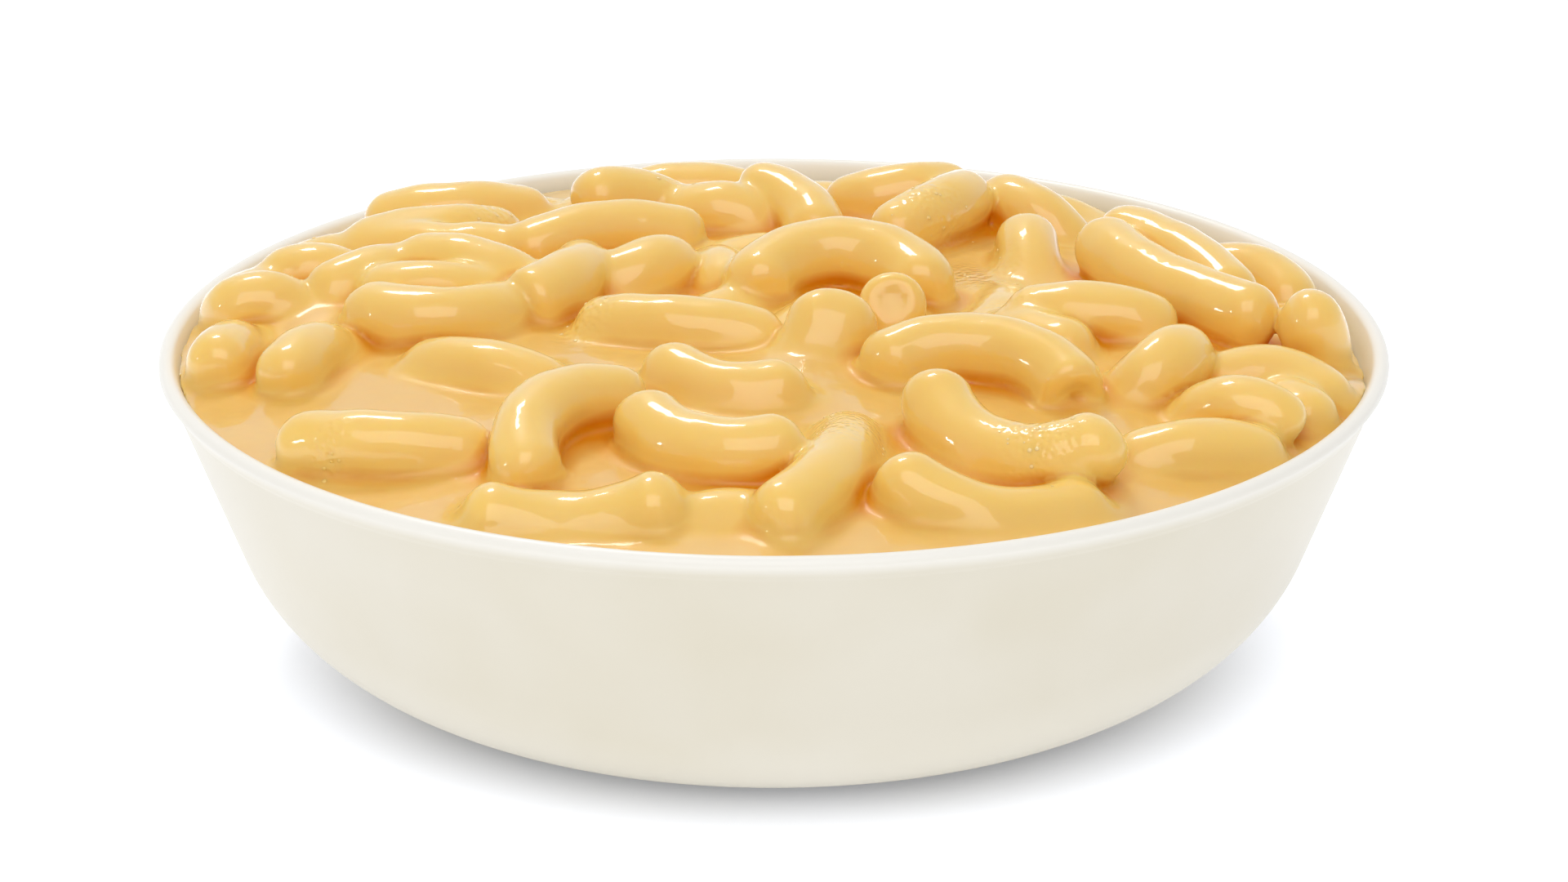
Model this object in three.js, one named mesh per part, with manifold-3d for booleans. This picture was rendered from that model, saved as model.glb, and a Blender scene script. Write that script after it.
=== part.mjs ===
// A bowl of mac and cheese: a plain round bowl and the sauced elbow macaroni heaped in it.
// Millimetres, +Z up. The origin is the middle of the bowl's base, on the table.

import * as THREE from "three";
import { mergeVertices } from "three/addons/utils/BufferGeometryUtils.js";
import Module from "manifold-3d";

const wasm = await Module();
wasm.setup();

// ---- Bowl: a straight leaning wall above a round heel and a flat base ----
const RIM_RADIUS = 76;
const BOWL_HEIGHT = 41.5;
const WALL_LEAN = THREE.MathUtils.degToRad(21);
const WALL_SLOPE = Math.tan(WALL_LEAN);
const RIM_THICKNESS = 2.2;
const HEEL_HEIGHT = 18;
const HEEL_FULLNESS = 0.8;
const BASE_RADIUS = 36;
const HEEL_THICKNESS = 2.5;
const FLOOR_THICKNESS = 3;
const FLOOR_RADIUS = 34;
const BOWL_SIDES = 60;
const HEEL_STEPS = 6;
const LIP_STEPS = 4;

// ---- Clean solids ----
const SAME_POINT = 1e-4;
const SMALLEST_EDGE = 0.01;
const SMALLEST_DETAIL = 0.05;

// ---- Food: sauce up to an uneven, slightly domed level, with elbows lying in it ----
const FIT_GAP = 0.3;
const TRIM_STEP = 0.05;
const ELBOW_RADIUS = 4.2;
const ELBOW_SIDES = 12;
const ELBOW_STEP_TURN = 24;
const ELBOW_CAP_STEPS = 2;
const SAUCE_EDGE_DROP = 2.5;
const SAUCE_DOME = 5;
const SAUCE_DOME_POWER = 3;
const SAUCE_WAVE = 0.5;
const SAUCE_WAVE_LENGTH = 23;
const SAUCE_TILT = 0.8;
const SAUCE_RINGS = 8;
const SAUCE_TOP_MARK = 1;
const HEADROOM = 17;
const CAVITY_RADIUS = RIM_RADIUS - RIM_THICKNESS - FIT_GAP;
// A few soft mounds and one dip in the sauce: x, y, height, radius.
const SAUCE_MOUNDS = [
  [-57, 3, 3, 8],
  [-40, -30, -0.8, 12],
  [2, -24, 1, 9],
  [5, -15, 2, 6],
  [33, 17, 0.6, 7],
  [46, -12, 1.5, 9],
  [-71, -13, 0.5, 6],
  [71, -14, 1.6, 6],
];

// Elbows that show, by eye, one row each. x and y are the middle of the elbow's centre line and
// rise is its height above the rim. heading turns the elbow about Z, from +X; pitch lifts its far
// end. roll is the way its back faces: 0 to the left of its heading, 90 up, 180 to the right.
// bend is how far it curls, and length is measured along the centre line between its round ends.
//  x, y, rise, heading, roll, pitch, bend, length
const FRONT_ELBOWS = [
  [-66.5, -8, 0.4, 80, 90, -16, 35, 11],
  [-56, -13, 2.1, 68, 90, -12, 50, 13],
  [-45.5, -44.5, 2, -7, 150, 0, 50, 18],
  [-35, -18, 1.6, -26, 118, 0, 40, 13.5],
  [-27, -41, 5, 61, 29, 6, 90, 22],
  [-22.5, -60.5, -2, -2, -81, 5, 45, 19],
  [-6.5, -28.5, 2.6, -22, -162, -2, 70, 13.5],
  [-8.5, -49, 3.2, -26, -169, -2, 80, 17],
  [-5, -60, -2, 5, 90, 0, 60, 11],
  [4.2, -13.5, 2.2, -170, 9, -67, 60, 8.5],
  [7, -52.5, 1.6, -108, 27, 0, 45, 24],
  [25, -58.5, -2, 6, -145, -12, 65, 20.5],
  [26, -46.5, 1.5, -33, -141, -4, 90, 23],
  [25.5, -19.5, 5.3, -15, 22, -1, 85, 22.5],
  [46, -21.5, 2.6, -146, 48, -29, 120, 11],
  [54, -30, 1.3, -28, 110, 16, 80, 9],
  [61.5, -20.5, -2.1, 115, 90, -15, 40, 10],
  [50, -40, -0.6, 13, 114, -2, 45, 13],
  [67, -5, 0, 67, 150, -80, 50, 8],
  [61, -15.5, 0, -12, 33, -5, 75, 11.5],
];
const MIDDLE_ELBOWS = [
  [-64, 4.5, 2.9, 8, 113, 0, 50, 5],
  [-65.5, 11.5, 0.9, 66, 90, -6, 40, 11],
  [-48, 11, 4.3, 30, 90, -6, 50, 15],
  [-41, -5.5, 4.2, 6, 172, -2, 95, 16.5],
  [-41, 3.5, 4.5, 2, 137, -5, 50, 13],
  [-37, 9, 5.8, -20, 100, -9, 50, 14],
  [-25, 8, 5, -107, 27, 6, 50, 15],
  [-17.5, 11.5, 4, 26, 130, 20, 90, 10],
  [-7, 18, 1.8, 100, 90, -15, 40, 11],
  [-11.7, -8, 4, -13, 132, 0, 35, 18.5],
  [8.5, 14.5, 6.5, -2, 17, 0, 135, 25.5],
  [14.6, 1.5, 0.5, 90, 90, -55, 30, 11],
  [32.7, 20, 1, -85, 99, -35, 60, 14],
  [31.5, -8, 1.8, -55, 144, 10, 45, 11],
  [39, -4.5, 4.5, -7, 104, -1, 40, 13.5],
  [49, 7, 4.4, -52, -173, -4, 30, 26.5],
];
const BACK_ELBOWS = [
  [-58, 16, 2.6, -1, 75, -2, 45, 5.5],
  [-54, 31, -1, -15, 90, 0, 50, 13],
  [-47, 27, 2, -25, 100, 5, 50, 14],
  [-43.5, 31, 3, 14, 140, 0, 60, 16],
  [-41.5, 44.3, 2, 7, 140, 0, 60, 17],
  [-38, 24, 3, -5, 140, 0, 60, 13],
  [-22, 27, 5, 18, 50, 0, 40, 19],
  [-17.5, 42.5, 4.2, 17, 61, -19, 40, 11],
  [-11.5, 59.5, 0.2, 2, 60, 0, 45, 18],
  [-7.5, 39.5, 3.5, -13, 110, 3, 80, 11],
  [3, 39, 4.5, -55, 15, -10, 45, 11.5],
  [16.5, 46, 4, 6, 143, 6, 65, 12.5],
  [21, 35.5, 5, -126, 38, -2, 45, 13.5],
  [34, 42.5, 2, -38, 117, -20, 60, 9],
  [52, 18.5, 4, -54, 27, -7, 30, 19.5],
  [62, 23, 0, -35, 34, -8, 70, 10],
  [6.8, -13.3, 1.6, -170, 9, -67, 60, 8.5],
];

// Elbows sunk deeper fill the bare places: they sit on a sunflower spiral, which spaces them
// evenly, and each turns on from the last by a fixed step, so none needs a random draw. At the
// front there are none, because the sauce has pooled there and is smooth.
const GOLDEN_ANGLE = THREE.MathUtils.radToDeg(Math.PI * (3 - Math.sqrt(5)));
const SPIRAL_PLACES = 120;
const SPIRAL_RADIUS = 68;
const SUNK_FRONT = -12;
const SUNK_RISE = -2;
const SUNK_LENGTH = 15;
const SUNK_BEND = 75;
const SUNK_SWING = 60;
const SUNK_ROLL_STEP = 37;
const SUNK_CLEARANCE = 7.2;

/** A copy of a geometry with near points merged and the triangles that this empties dropped. */
function welded(geometry, tolerance) {
  const bare = geometry.clone();
  bare.deleteAttribute("normal");
  bare.deleteAttribute("uv");
  const merged = mergeVertices(bare, tolerance);
  const index = Array.from(merged.index.array);
  const triangles = [];
  for (let i = 0; i < index.length; i += 3) {
    const [a, b, c] = index.slice(i, i + 3);
    if (a !== b && b !== c && c !== a) triangles.push(a, b, c);
  }
  merged.setIndex(triangles);
  return merged;
}

/** Turns a closed geometry into a solid. */
function solid(geometry) {
  const whole = welded(geometry, SAME_POINT);
  const mesh = new wasm.Mesh({
    numProp: 3,
    vertProperties: new Float32Array(whole.attributes.position.array),
    triVerts: new Uint32Array(whole.index.array),
  });
  return new wasm.Manifold(mesh);
}

/** Turns a solid back into a geometry. */
function geometryOf(shape) {
  const mesh = shape.getMesh();
  const geometry = new THREE.BufferGeometry();
  geometry.setAttribute("position", new THREE.BufferAttribute(mesh.vertProperties, 3));
  geometry.setIndex(new THREE.BufferAttribute(mesh.triVerts, 1));
  const clean = welded(geometry, SMALLEST_EDGE);
  clean.computeVertexNormals();
  return clean;
}

/** Revolves a closed outline of [radius, height] points about Z. */
function revolve(outline) {
  const points = outline.map(([radius, height]) => new THREE.Vector2(radius, height));
  return new THREE.LatheGeometry(points, BOWL_SIDES).rotateX(Math.PI / 2);
}

/** The rounded heel, from the base's edge up to the straight wall, as a conic arc. */
function heel(baseRadius, baseHeight, wallOffset) {
  const wallRadius = RIM_RADIUS - (BOWL_HEIGHT - HEEL_HEIGHT) * WALL_SLOPE - wallOffset;
  const cornerRadius = wallRadius - (HEEL_HEIGHT - baseHeight) * WALL_SLOPE;
  const points = [];
  for (let i = 0; i <= HEEL_STEPS; i += 1) {
    const t = i / HEEL_STEPS;
    const start = (1 - t) * (1 - t);
    const corner = 2 * HEEL_FULLNESS * t * (1 - t);
    const end = t * t;
    const total = start + corner + end;
    const radius = (start * baseRadius + corner * cornerRadius + end * wallRadius) / total;
    const height = ((start + corner) * baseHeight + end * HEEL_HEIGHT) / total;
    points.push([radius, height]);
  }
  return points;
}

/** The bowl's rounded lip, from its outer shoulder over to its inner one. */
function lip() {
  const roundness = RIM_THICKNESS / 2;
  const height = BOWL_HEIGHT - roundness;
  const points = [];
  for (let i = 0; i <= LIP_STEPS; i += 1) {
    const angle = (Math.PI * i) / LIP_STEPS;
    const radius = RIM_RADIUS - roundness + roundness * Math.cos(angle);
    points.push([radius, height + roundness * Math.sin(angle)]);
  }
  return points;
}

function bowlGeometry() {
  const outside = heel(BASE_RADIUS, 0, 0);
  const inside = heel(FLOOR_RADIUS, FLOOR_THICKNESS, HEEL_THICKNESS).reverse();
  const outline = [[0, 0], ...outside, ...lip(), ...inside, [0, FLOOR_THICKNESS], [0, 0]];
  return geometryOf(solid(revolve(outline)));
}

/** Height of the sauce between the elbows: a low dome with slow waves and a few mounds. */
function sauceLevel(x, y) {
  const reach = Math.min(Math.hypot(x, y) / CAVITY_RADIUS, 1);
  const wave = Math.sin(x / SAUCE_WAVE_LENGTH * Math.PI) * Math.cos(y / SAUCE_WAVE_LENGTH * Math.PI);
  const dome = SAUCE_DOME * (1 - reach ** SAUCE_DOME_POWER);
  const mounds = SAUCE_MOUNDS.map(([moundX, moundY, height, radius]) =>
    height * Math.exp(-((x - moundX) ** 2 + (y - moundY) ** 2) / radius ** 2));
  const raised = mounds.reduce((sum, height) => sum + height, dome + SAUCE_WAVE * wave * (1 - reach));
  return BOWL_HEIGHT - SAUCE_EDGE_DROP + raised - SAUCE_TILT * x / RIM_RADIUS;
}

/** The hollow that the food may fill: the bowl's inside less a gap, open above. */
function cavityOutline(top, gap) {
  const inside = heel(FLOOR_RADIUS - gap, FLOOR_THICKNESS + gap, HEEL_THICKNESS + gap);
  const wallHeight = Math.min(top, BOWL_HEIGHT);
  const wallRadius = RIM_RADIUS - RIM_THICKNESS - gap - (BOWL_HEIGHT - wallHeight) * WALL_SLOPE;
  return [[0, FLOOR_THICKNESS + gap], ...inside, [wallRadius, wallHeight]];
}

/** The sauce as one body, its top in rings of marked points that are moved to the sauce's level. */
function sauceBody() {
  const edgeHeight = BOWL_HEIGHT - SAUCE_EDGE_DROP;
  const outline = cavityOutline(edgeHeight, FIT_GAP);
  const edgeRadius = outline[outline.length - 1][0];
  for (let ring = SAUCE_RINGS - 1; ring >= 0; ring -= 1) {
    outline.push([(edgeRadius * ring) / SAUCE_RINGS, edgeHeight + SAUCE_TOP_MARK]);
  }
  outline.push(outline[0]);
  const geometry = revolve(outline);
  const position = geometry.attributes.position;
  for (let i = 0; i < position.count; i += 1) {
    if (position.getZ(i) > edgeHeight + SAUCE_TOP_MARK / 2) {
      position.setZ(i, sauceLevel(position.getX(i), position.getY(i)));
    }
  }
  return solid(geometry);
}

/** One elbow: a round-ended rod, curled about its middle and laid in place. */
function elbow([x, y, rise, heading, roll, pitch, bend, length]) {
  const steps = Math.max(2, Math.round(bend / ELBOW_STEP_TURN));
  const rod = new THREE.CapsuleGeometry(
    ELBOW_RADIUS, length, ELBOW_CAP_STEPS, ELBOW_SIDES, steps);
  const position = rod.attributes.position;
  const curl = THREE.MathUtils.degToRad(bend) / length;
  for (let i = 0; i < position.count; i += 1) {
    const turn = position.getY(i) * curl;
    const reach = 1 / curl + position.getX(i);
    position.setXY(i, reach * Math.cos(turn) - 1 / curl, reach * Math.sin(turn));
  }
  // The rod runs along Y with its back to +X; these turns point it along X, back to +Y.
  const [turned, lifted, rolled] = [heading, pitch, roll].map(THREE.MathUtils.degToRad);
  const place = new THREE.Matrix4().makeTranslation(x, y, BOWL_HEIGHT + rise);
  place.multiply(new THREE.Matrix4().makeRotationZ(turned));
  place.multiply(new THREE.Matrix4().makeRotationY(-lifted));
  place.multiply(new THREE.Matrix4().makeRotationX(rolled));
  place.multiply(new THREE.Matrix4().makeBasis(
    new THREE.Vector3(0, 1, 0), new THREE.Vector3(1, 0, 0), new THREE.Vector3(0, 0, -1)));
  return solid(rod.applyMatrix4(place));
}

/** Whether an elbow's middle or either end is close to a place. */
function covers(row, x, y) {
  const heading = THREE.MathUtils.degToRad(row[3]);
  const half = row[7] / 2;
  return [-half, 0, half].some((along) => {
    const apartX = x - row[0] - along * Math.cos(heading);
    const apartY = y - row[1] - along * Math.sin(heading);
    return Math.hypot(apartX, apartY) < SUNK_CLEARANCE;
  });
}

/** Rows for the sunk elbows, one at each spiral place that no other elbow covers. */
function sunkElbows(shown) {
  const rows = [];
  for (let i = 0; i < SPIRAL_PLACES; i += 1) {
    const distance = SPIRAL_RADIUS * Math.sqrt((i + 0.5) / SPIRAL_PLACES);
    const angle = THREE.MathUtils.degToRad(GOLDEN_ANGLE * i);
    const x = distance * Math.cos(angle);
    const y = distance * Math.sin(angle);
    if (y < SUNK_FRONT || [...shown, ...rows].some((row) => covers(row, x, y))) continue;
    const rise = sauceLevel(x, y) - BOWL_HEIGHT + SUNK_RISE;
    const swing = (i * GOLDEN_ANGLE) % SUNK_SWING - SUNK_SWING / 2;
    const heading = THREE.MathUtils.radToDeg(angle) + 90 + swing;
    const roll = 90 + (i * SUNK_ROLL_STEP) % SUNK_SWING;
    rows.push([x, y, rise, heading, roll, 0, SUNK_BEND, SUNK_LENGTH]);
  }
  return rows;
}

function foodGeometry() {
  const shown = [...FRONT_ELBOWS, ...MIDDLE_ELBOWS, ...BACK_ELBOWS];
  const elbows = [...shown, ...sunkElbows(shown)].map(elbow);
  // Elbows are trimmed a hair inside the sauce's own wall, so no two faces lie in one plane.
  const open = cavityOutline(BOWL_HEIGHT, FIT_GAP + TRIM_STEP);
  const openRadius = open[open.length - 1][0];
  const ceiling = BOWL_HEIGHT + HEADROOM;
  const cavity = solid(revolve([...open, [openRadius, ceiling], [0, ceiling], open[0]]));
  const trimmed = elbows.reduce((whole, piece) => whole.add(piece)).intersect(cavity);
  const pieces = sauceBody().add(trimmed).decompose();
  const largest = pieces.reduce((best, piece) => (piece.volume() > best.volume() ? piece : best));
  return geometryOf(largest.asOriginal().simplify(SMALLEST_DETAIL));
}

function mesh(name, geometry, material) {
  const result = new THREE.Mesh(geometry, new THREE.MeshStandardMaterial(material));
  result.name = name;
  return result;
}

const dish = new THREE.Group();
dish.add(mesh("bowl", bowlGeometry(), { color: "#e6e0d0", roughness: 0.35, metalness: 0 }));
dish.add(mesh("macaroni", foodGeometry(), { color: "#efc377", roughness: 0.2, metalness: 0 }));

export default dish;
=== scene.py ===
# %% [markdown]
# # Mac and cheese in its bowl
# A round cream bowl is heaped with elbow macaroni in a smooth cheese sauce. Three things make such
# a dish look real: the elbows are fat and soft, the sauce bridges them with small round fillets,
# and everything is wet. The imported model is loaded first, as a fixed frame that says where things
# are; every size below is a real one in millimetres.

# %% Load the frame
import math

import bmesh
import bpy
import numpy as np
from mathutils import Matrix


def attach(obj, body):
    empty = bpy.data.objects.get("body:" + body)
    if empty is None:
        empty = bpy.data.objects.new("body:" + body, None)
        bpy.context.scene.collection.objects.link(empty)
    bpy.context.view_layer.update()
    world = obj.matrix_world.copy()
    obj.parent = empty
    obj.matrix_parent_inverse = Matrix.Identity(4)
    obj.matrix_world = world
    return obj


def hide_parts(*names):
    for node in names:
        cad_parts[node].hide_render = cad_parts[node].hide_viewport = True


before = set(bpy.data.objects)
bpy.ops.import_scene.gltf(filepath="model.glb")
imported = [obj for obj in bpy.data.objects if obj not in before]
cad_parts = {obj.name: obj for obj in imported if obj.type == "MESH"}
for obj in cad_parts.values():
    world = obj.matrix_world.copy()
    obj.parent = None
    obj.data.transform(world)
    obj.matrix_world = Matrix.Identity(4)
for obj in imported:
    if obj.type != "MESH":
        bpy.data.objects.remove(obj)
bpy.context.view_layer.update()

import openvdb
from mathutils import Vector

MM = 0.001
CM3_IN_M3 = 1e6
MM3_IN_CM3 = 1000


# %% [markdown]
# ## Small helpers
# Colours are written as the sRGB hex values that an eye would pick, so one function turns them
# into the linear numbers that the shaders use. One more function adds a node to any tree, a
# shader's or a modifier's, with its settings and links in one line.

# %% Helpers for colours and nodes
def linear(hex_colour):
    """An sRGB hex colour such as "f0c377" as opaque linear RGBA, by the sRGB standard's own curve."""
    channels = [int(hex_colour[i:i + 2], 16) / 255 for i in (0, 2, 4)]
    return [c / 12.92 if c <= 0.04045 else ((c + 0.055) / 1.055) ** 2.4 for c in channels] + [1.0]


def add_node(tree, kind, settings=None, **inputs):
    """Adds a node; settings are its properties, and inputs are values or sockets to link from.

    An input is named as its socket is, or i and a number where several share one name.
    """
    node = tree.nodes.new(kind)
    for name, value in (settings or {}).items():
        setattr(node, name, value)
    for name, value in inputs.items():
        key = int(name[1:]) if name[0] == "i" and name[1:].isdigit() else name.replace("_", " ")
        socket = node.inputs[key]
        if isinstance(value, bpy.types.NodeSocket):
            tree.links.new(value, socket)
        else:
            socket.default_value = value
    return node


# %% Helpers for meshes and geometry nodes
def mesh_object(name, points, faces):
    """A smooth-shaded mesh object from points in millimetres."""
    mesh = bpy.data.meshes.new(name)
    mesh.from_pydata([tuple(p) for p in np.asarray(points) * MM], [], faces)
    mesh.shade_smooth()
    piece = bpy.data.objects.new(name, mesh)
    bpy.context.scene.collection.objects.link(piece)
    return piece


def tree_with(name, **kinds):
    """An empty geometry nodes tree with a named input of the given kind for each size."""
    tree = bpy.data.node_groups.new(name, "GeometryNodeTree")
    tree.interface.new_socket(name="Geometry", in_out="INPUT", socket_type="NodeSocketGeometry")
    for label, kind in kinds.items():
        tree.interface.new_socket(name=label, in_out="INPUT", socket_type=kind)
    tree.interface.new_socket(name="Geometry", in_out="OUTPUT", socket_type="NodeSocketGeometry")
    return tree, tree.nodes.new("NodeGroupInput").outputs, tree.nodes.new("NodeGroupOutput").inputs


def finish_tree(tree, result, geometry, material):
    """Ends a tree with smooth shading, real instances and a material, as the export needs."""
    smooth = add_node(tree, "GeometryNodeSetShadeSmooth", Geometry=geometry)
    real = add_node(tree, "GeometryNodeRealizeInstances", Geometry=smooth.outputs["Geometry"])
    dressed = add_node(tree, "GeometryNodeSetMaterial", Geometry=real.outputs["Geometry"],
                       Material=material)
    tree.links.new(dressed.outputs["Geometry"], result["Geometry"])


def grow(name, base, tree, **sizes):
    """Runs a geometry nodes tree on a base object and returns the result as a plain mesh."""
    modifier = base.modifiers.new("grow", "NODES")
    modifier.node_group = tree
    sockets = {s.name: s.identifier for s in tree.interface.items_tree if s.in_out == "INPUT"}
    for label, value in sizes.items():
        modifier[sockets[label]] = value
    evaluated = base.evaluated_get(bpy.context.evaluated_depsgraph_get())
    mesh = bpy.data.meshes.new_from_object(evaluated)
    mesh.name = name
    base.modifiers.remove(modifier)
    piece = bpy.data.objects.new(name, mesh)
    bpy.context.scene.collection.objects.link(piece)
    return piece


def solid_facts(piece):
    """Volume in cm3, which is negative where faces point inwards, and the count of open edges."""
    solid = bmesh.new()
    solid.from_mesh(piece.data)
    volume = solid.calc_volume(signed=True) * CM3_IN_M3
    loose = sum(1 for edge in solid.edges if not edge.is_manifold)
    solid.free()
    return f"{volume:.1f} cm3, {loose} open edges, {len(piece.data.polygons)} faces"


# %% [markdown]
# ## The camera
# The dish is seen from about twenty degrees above the table, with a long lens, so the rim is a
# flat ellipse and the near wall of the bowl fills the lower half of the picture.

# %% Camera
CAMERA_TARGET = Vector((1.26, 0, 27.83)) * MM
CAMERA_DISTANCE = 700 * MM
CAMERA_ELEVATION = math.radians(20.08)
LENS = 128.7
SENSOR = 36

camera_data = bpy.data.cameras.new("camera")
camera_data.lens = LENS
camera_data.sensor_width = SENSOR
camera = bpy.data.objects.new("camera", camera_data)
towards_camera = Vector((0, -math.cos(CAMERA_ELEVATION), math.sin(CAMERA_ELEVATION)))
camera.location = CAMERA_TARGET + CAMERA_DISTANCE * towards_camera
camera.rotation_euler = (math.pi / 2 - CAMERA_ELEVATION, 0, 0)
bpy.context.scene.collection.objects.link(camera)
bpy.context.scene.camera = camera
print("camera", [round(c, 3) for c in camera.location])


# %% [markdown]
# ## Satin cream glaze
# A cream glaze on stoneware is a thin layer of glass with fine white grains in it. The grains
# scatter most of the light, so the bowl looks soft and almost matt, and the glass gives it a
# broad sheen that grows towards the edges of the form. The glaze runs a little thick and thin,
# which a slow noise says in its colour, and its skin is faintly dimpled like an orange's. Its
# colour turns whiter towards the lip.

# %% The glaze's shader
GLAZE_CREAM = "d6ceb9"
GLAZE_PALE = "dad3c1"
GLAZE_AT_LIP = "f3f0e8"
LIP_PALE_FROM, LIP_PALE_TO = 39.0, 41.3
GLAZE_CLOUD_SIZE = 26.0
GLAZE_CLOUD_RANGE = (0.35, 0.65)
GLAZE_DIMPLE_SIZE = 1.4
GLAZE_DIMPLE_DEPTH = 0.012
GLAZE_ROUGHNESS = (0.3, 0.4)
GLAZE_IOR = 1.5
# a soft noise seldom goes past these, so they are its darkest and lightest
NOISE_RANGE = (0.3, 0.7)


def new_material(name):
    """An empty material: its tree, its shader and object coordinates in metres."""
    material = bpy.data.materials.new(name)
    material.use_nodes = True
    tree = material.node_tree
    place = tree.nodes.new("ShaderNodeTexCoord").outputs["Object"]
    return material, tree, tree.nodes["Principled BSDF"], place


def noise(tree, place, size, detail=2.0):
    """A soft noise whose lumps are about that many millimetres across."""
    return add_node(tree, "ShaderNodeTexNoise", Vector=place, Scale=1 / (size * MM), Detail=detail)


def blend(tree, factor, first, second):
    """A colour between two, each a socket or a linear colour."""
    mixed = add_node(tree, "ShaderNodeMix", {"data_type": "RGBA"}, i0=factor, i6=first, i7=second)
    return mixed.outputs[2]


def rescale(tree, value, low, high, out_low=0.0, out_high=1.0):
    """A value moved from one range to another and held there."""
    ranged = add_node(tree, "ShaderNodeMapRange", Value=value, From_Min=low, From_Max=high,
                      To_Min=out_low, To_Max=out_high)
    return ranged.outputs["Result"]


def glaze_material():
    """Cream glaze, a little thick and thin, faintly dimpled, and whitest at the lip."""
    material, tree, shader, place = new_material("satin cream stoneware glaze")
    cloud = noise(tree, place, GLAZE_CLOUD_SIZE).outputs["Fac"]
    thick = rescale(tree, cloud, *GLAZE_CLOUD_RANGE)
    cream = blend(tree, thick, linear(GLAZE_CREAM), linear(GLAZE_PALE))
    height = add_node(tree, "ShaderNodeSeparateXYZ", Vector=place).outputs["Z"]
    # Towards the lip the colour turns whiter.
    thin = rescale(tree, height, LIP_PALE_FROM * MM, LIP_PALE_TO * MM)
    tree.links.new(blend(tree, thin, cream, linear(GLAZE_AT_LIP)), shader.inputs["Base Color"])
    tree.links.new(rescale(tree, cloud, *NOISE_RANGE, *GLAZE_ROUGHNESS), shader.inputs["Roughness"])
    dimples = noise(tree, place, GLAZE_DIMPLE_SIZE)
    skin = add_node(tree, "ShaderNodeBump", Height=dimples.outputs["Fac"], Strength=1.0,
                    Distance=GLAZE_DIMPLE_DEPTH * MM)
    tree.links.new(skin.outputs["Normal"], shader.inputs["Normal"])
    shader.inputs["IOR"].default_value = GLAZE_IOR
    return material


glaze = glaze_material()
print("made", glaze.name)


# %% [markdown]
# ## The bowl
# A glazed bowl is made on a wheel or in a turning mould, so it is one outline swung round an axis.
# Geometry nodes do the same: they sweep the outline along a hair-thin circle. Outside there is a
# round heel, a straight wall that leans out by 21 degrees, and a soft lip. The heel is a conic
# arc, because that swells more than a circle's arc does, as the heels of such bowls do. Under the
# lip the wall steps in by a quarter of a millimetre, which leaves the lip as a faint bead.

# %% The bowl's outline
RIM_RADIUS = 76.0
BOWL_HEIGHT = 41.5
WALL_SLOPE = math.tan(math.radians(21))
RIM_THICKNESS = 2.2
BEAD_HEIGHT = 2.4
BEAD_STEP = 0.25
BEAD_STEP_HEIGHT = 1.0
HEEL_HEIGHT = 18.0
HEEL_FULLNESS = 0.8
BASE_RADIUS = 36.0
HEEL_THICKNESS = 2.5
FLOOR_THICKNESS = 3.0
FLOOR_RADIUS = 34.0
HEEL_STEPS = 22
LIP_STEPS = 14
SHOULDER_SHARE = 0.03
BEAD_STEPS = 6


def heel_arc(base_radius, base_height, wall_offset):
    """Points from the base's edge up to the straight wall."""
    wall_radius = RIM_RADIUS - (BOWL_HEIGHT - HEEL_HEIGHT) * WALL_SLOPE - wall_offset
    corner = (wall_radius - (HEEL_HEIGHT - base_height) * WALL_SLOPE, base_height)
    t = np.linspace(0, 1, HEEL_STEPS + 1)[:, None]
    weights = np.hstack([(1 - t) ** 2, 2 * HEEL_FULLNESS * t * (1 - t), t ** 2])
    knots = np.array([(base_radius, base_height), corner, (wall_radius, HEEL_HEIGHT)])
    return weights @ knots / weights.sum(axis=1, keepdims=True)


def bead_step():
    """The soft step from the wall out to the lip's bead."""
    t = np.linspace(0, 1, BEAD_STEPS + 1)
    z = BOWL_HEIGHT - BEAD_HEIGHT + BEAD_STEP_HEIGHT * (t - 1)
    r = RIM_RADIUS - (BOWL_HEIGHT - z) * WALL_SLOPE
    return np.stack([r - BEAD_STEP * (1 - t * t * (3 - 2 * t)), z], 1)


def lip_arc(wall_foot):
    """The round lip, from the outer shoulder over to where the inner wall leaves it smoothly."""
    half = RIM_THICKNESS / 2
    run, rise = RIM_RADIUS - half - wall_foot[0], BOWL_HEIGHT - half - wall_foot[1]
    lean = math.atan2(run, rise) - math.asin(half / math.hypot(run, rise))
    a = np.linspace(0, math.pi - lean, LIP_STEPS + 1)
    return np.stack([RIM_RADIUS - half + half * np.cos(a), BOWL_HEIGHT - half + half * np.sin(a)], 1)


outside = heel_arc(BASE_RADIUS, 0, BEAD_STEP)
inside = heel_arc(FLOOR_RADIUS, FLOOR_THICKNESS, HEEL_THICKNESS)[::-1]
lip = lip_arc(inside[0])
# One more ring close under the lip keeps the lip's smooth shading off the long straight wall.
under_lip = lip[-1] + SHOULDER_SHARE * (inside[0] - lip[-1])
outer_half = [[(0, 0)], outside, bead_step(), lip]
inner_half = [[under_lip], inside, [(0, FLOOR_THICKNESS)]]
bowl_outline = np.vstack(outer_half + inner_half)
print("bowl outline has", len(bowl_outline), "points")


def wall_at(height):
    """The inner wall's radius at a height, from the floor up to the lip."""
    wall = np.vstack([inside[::-1], lip[-1]])
    return np.interp(height, wall[:, 1], wall[:, 0])


# %% Swing the outline round the axis
# The circle is a hair wide and the outline is measured from the axis, so the sweep adds nothing
# that can be seen to the radius. Its middle points are then close enough to be merged (metres).
HAIR_RADIUS = 1e-6
MERGE_REACH = 5e-6


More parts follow.
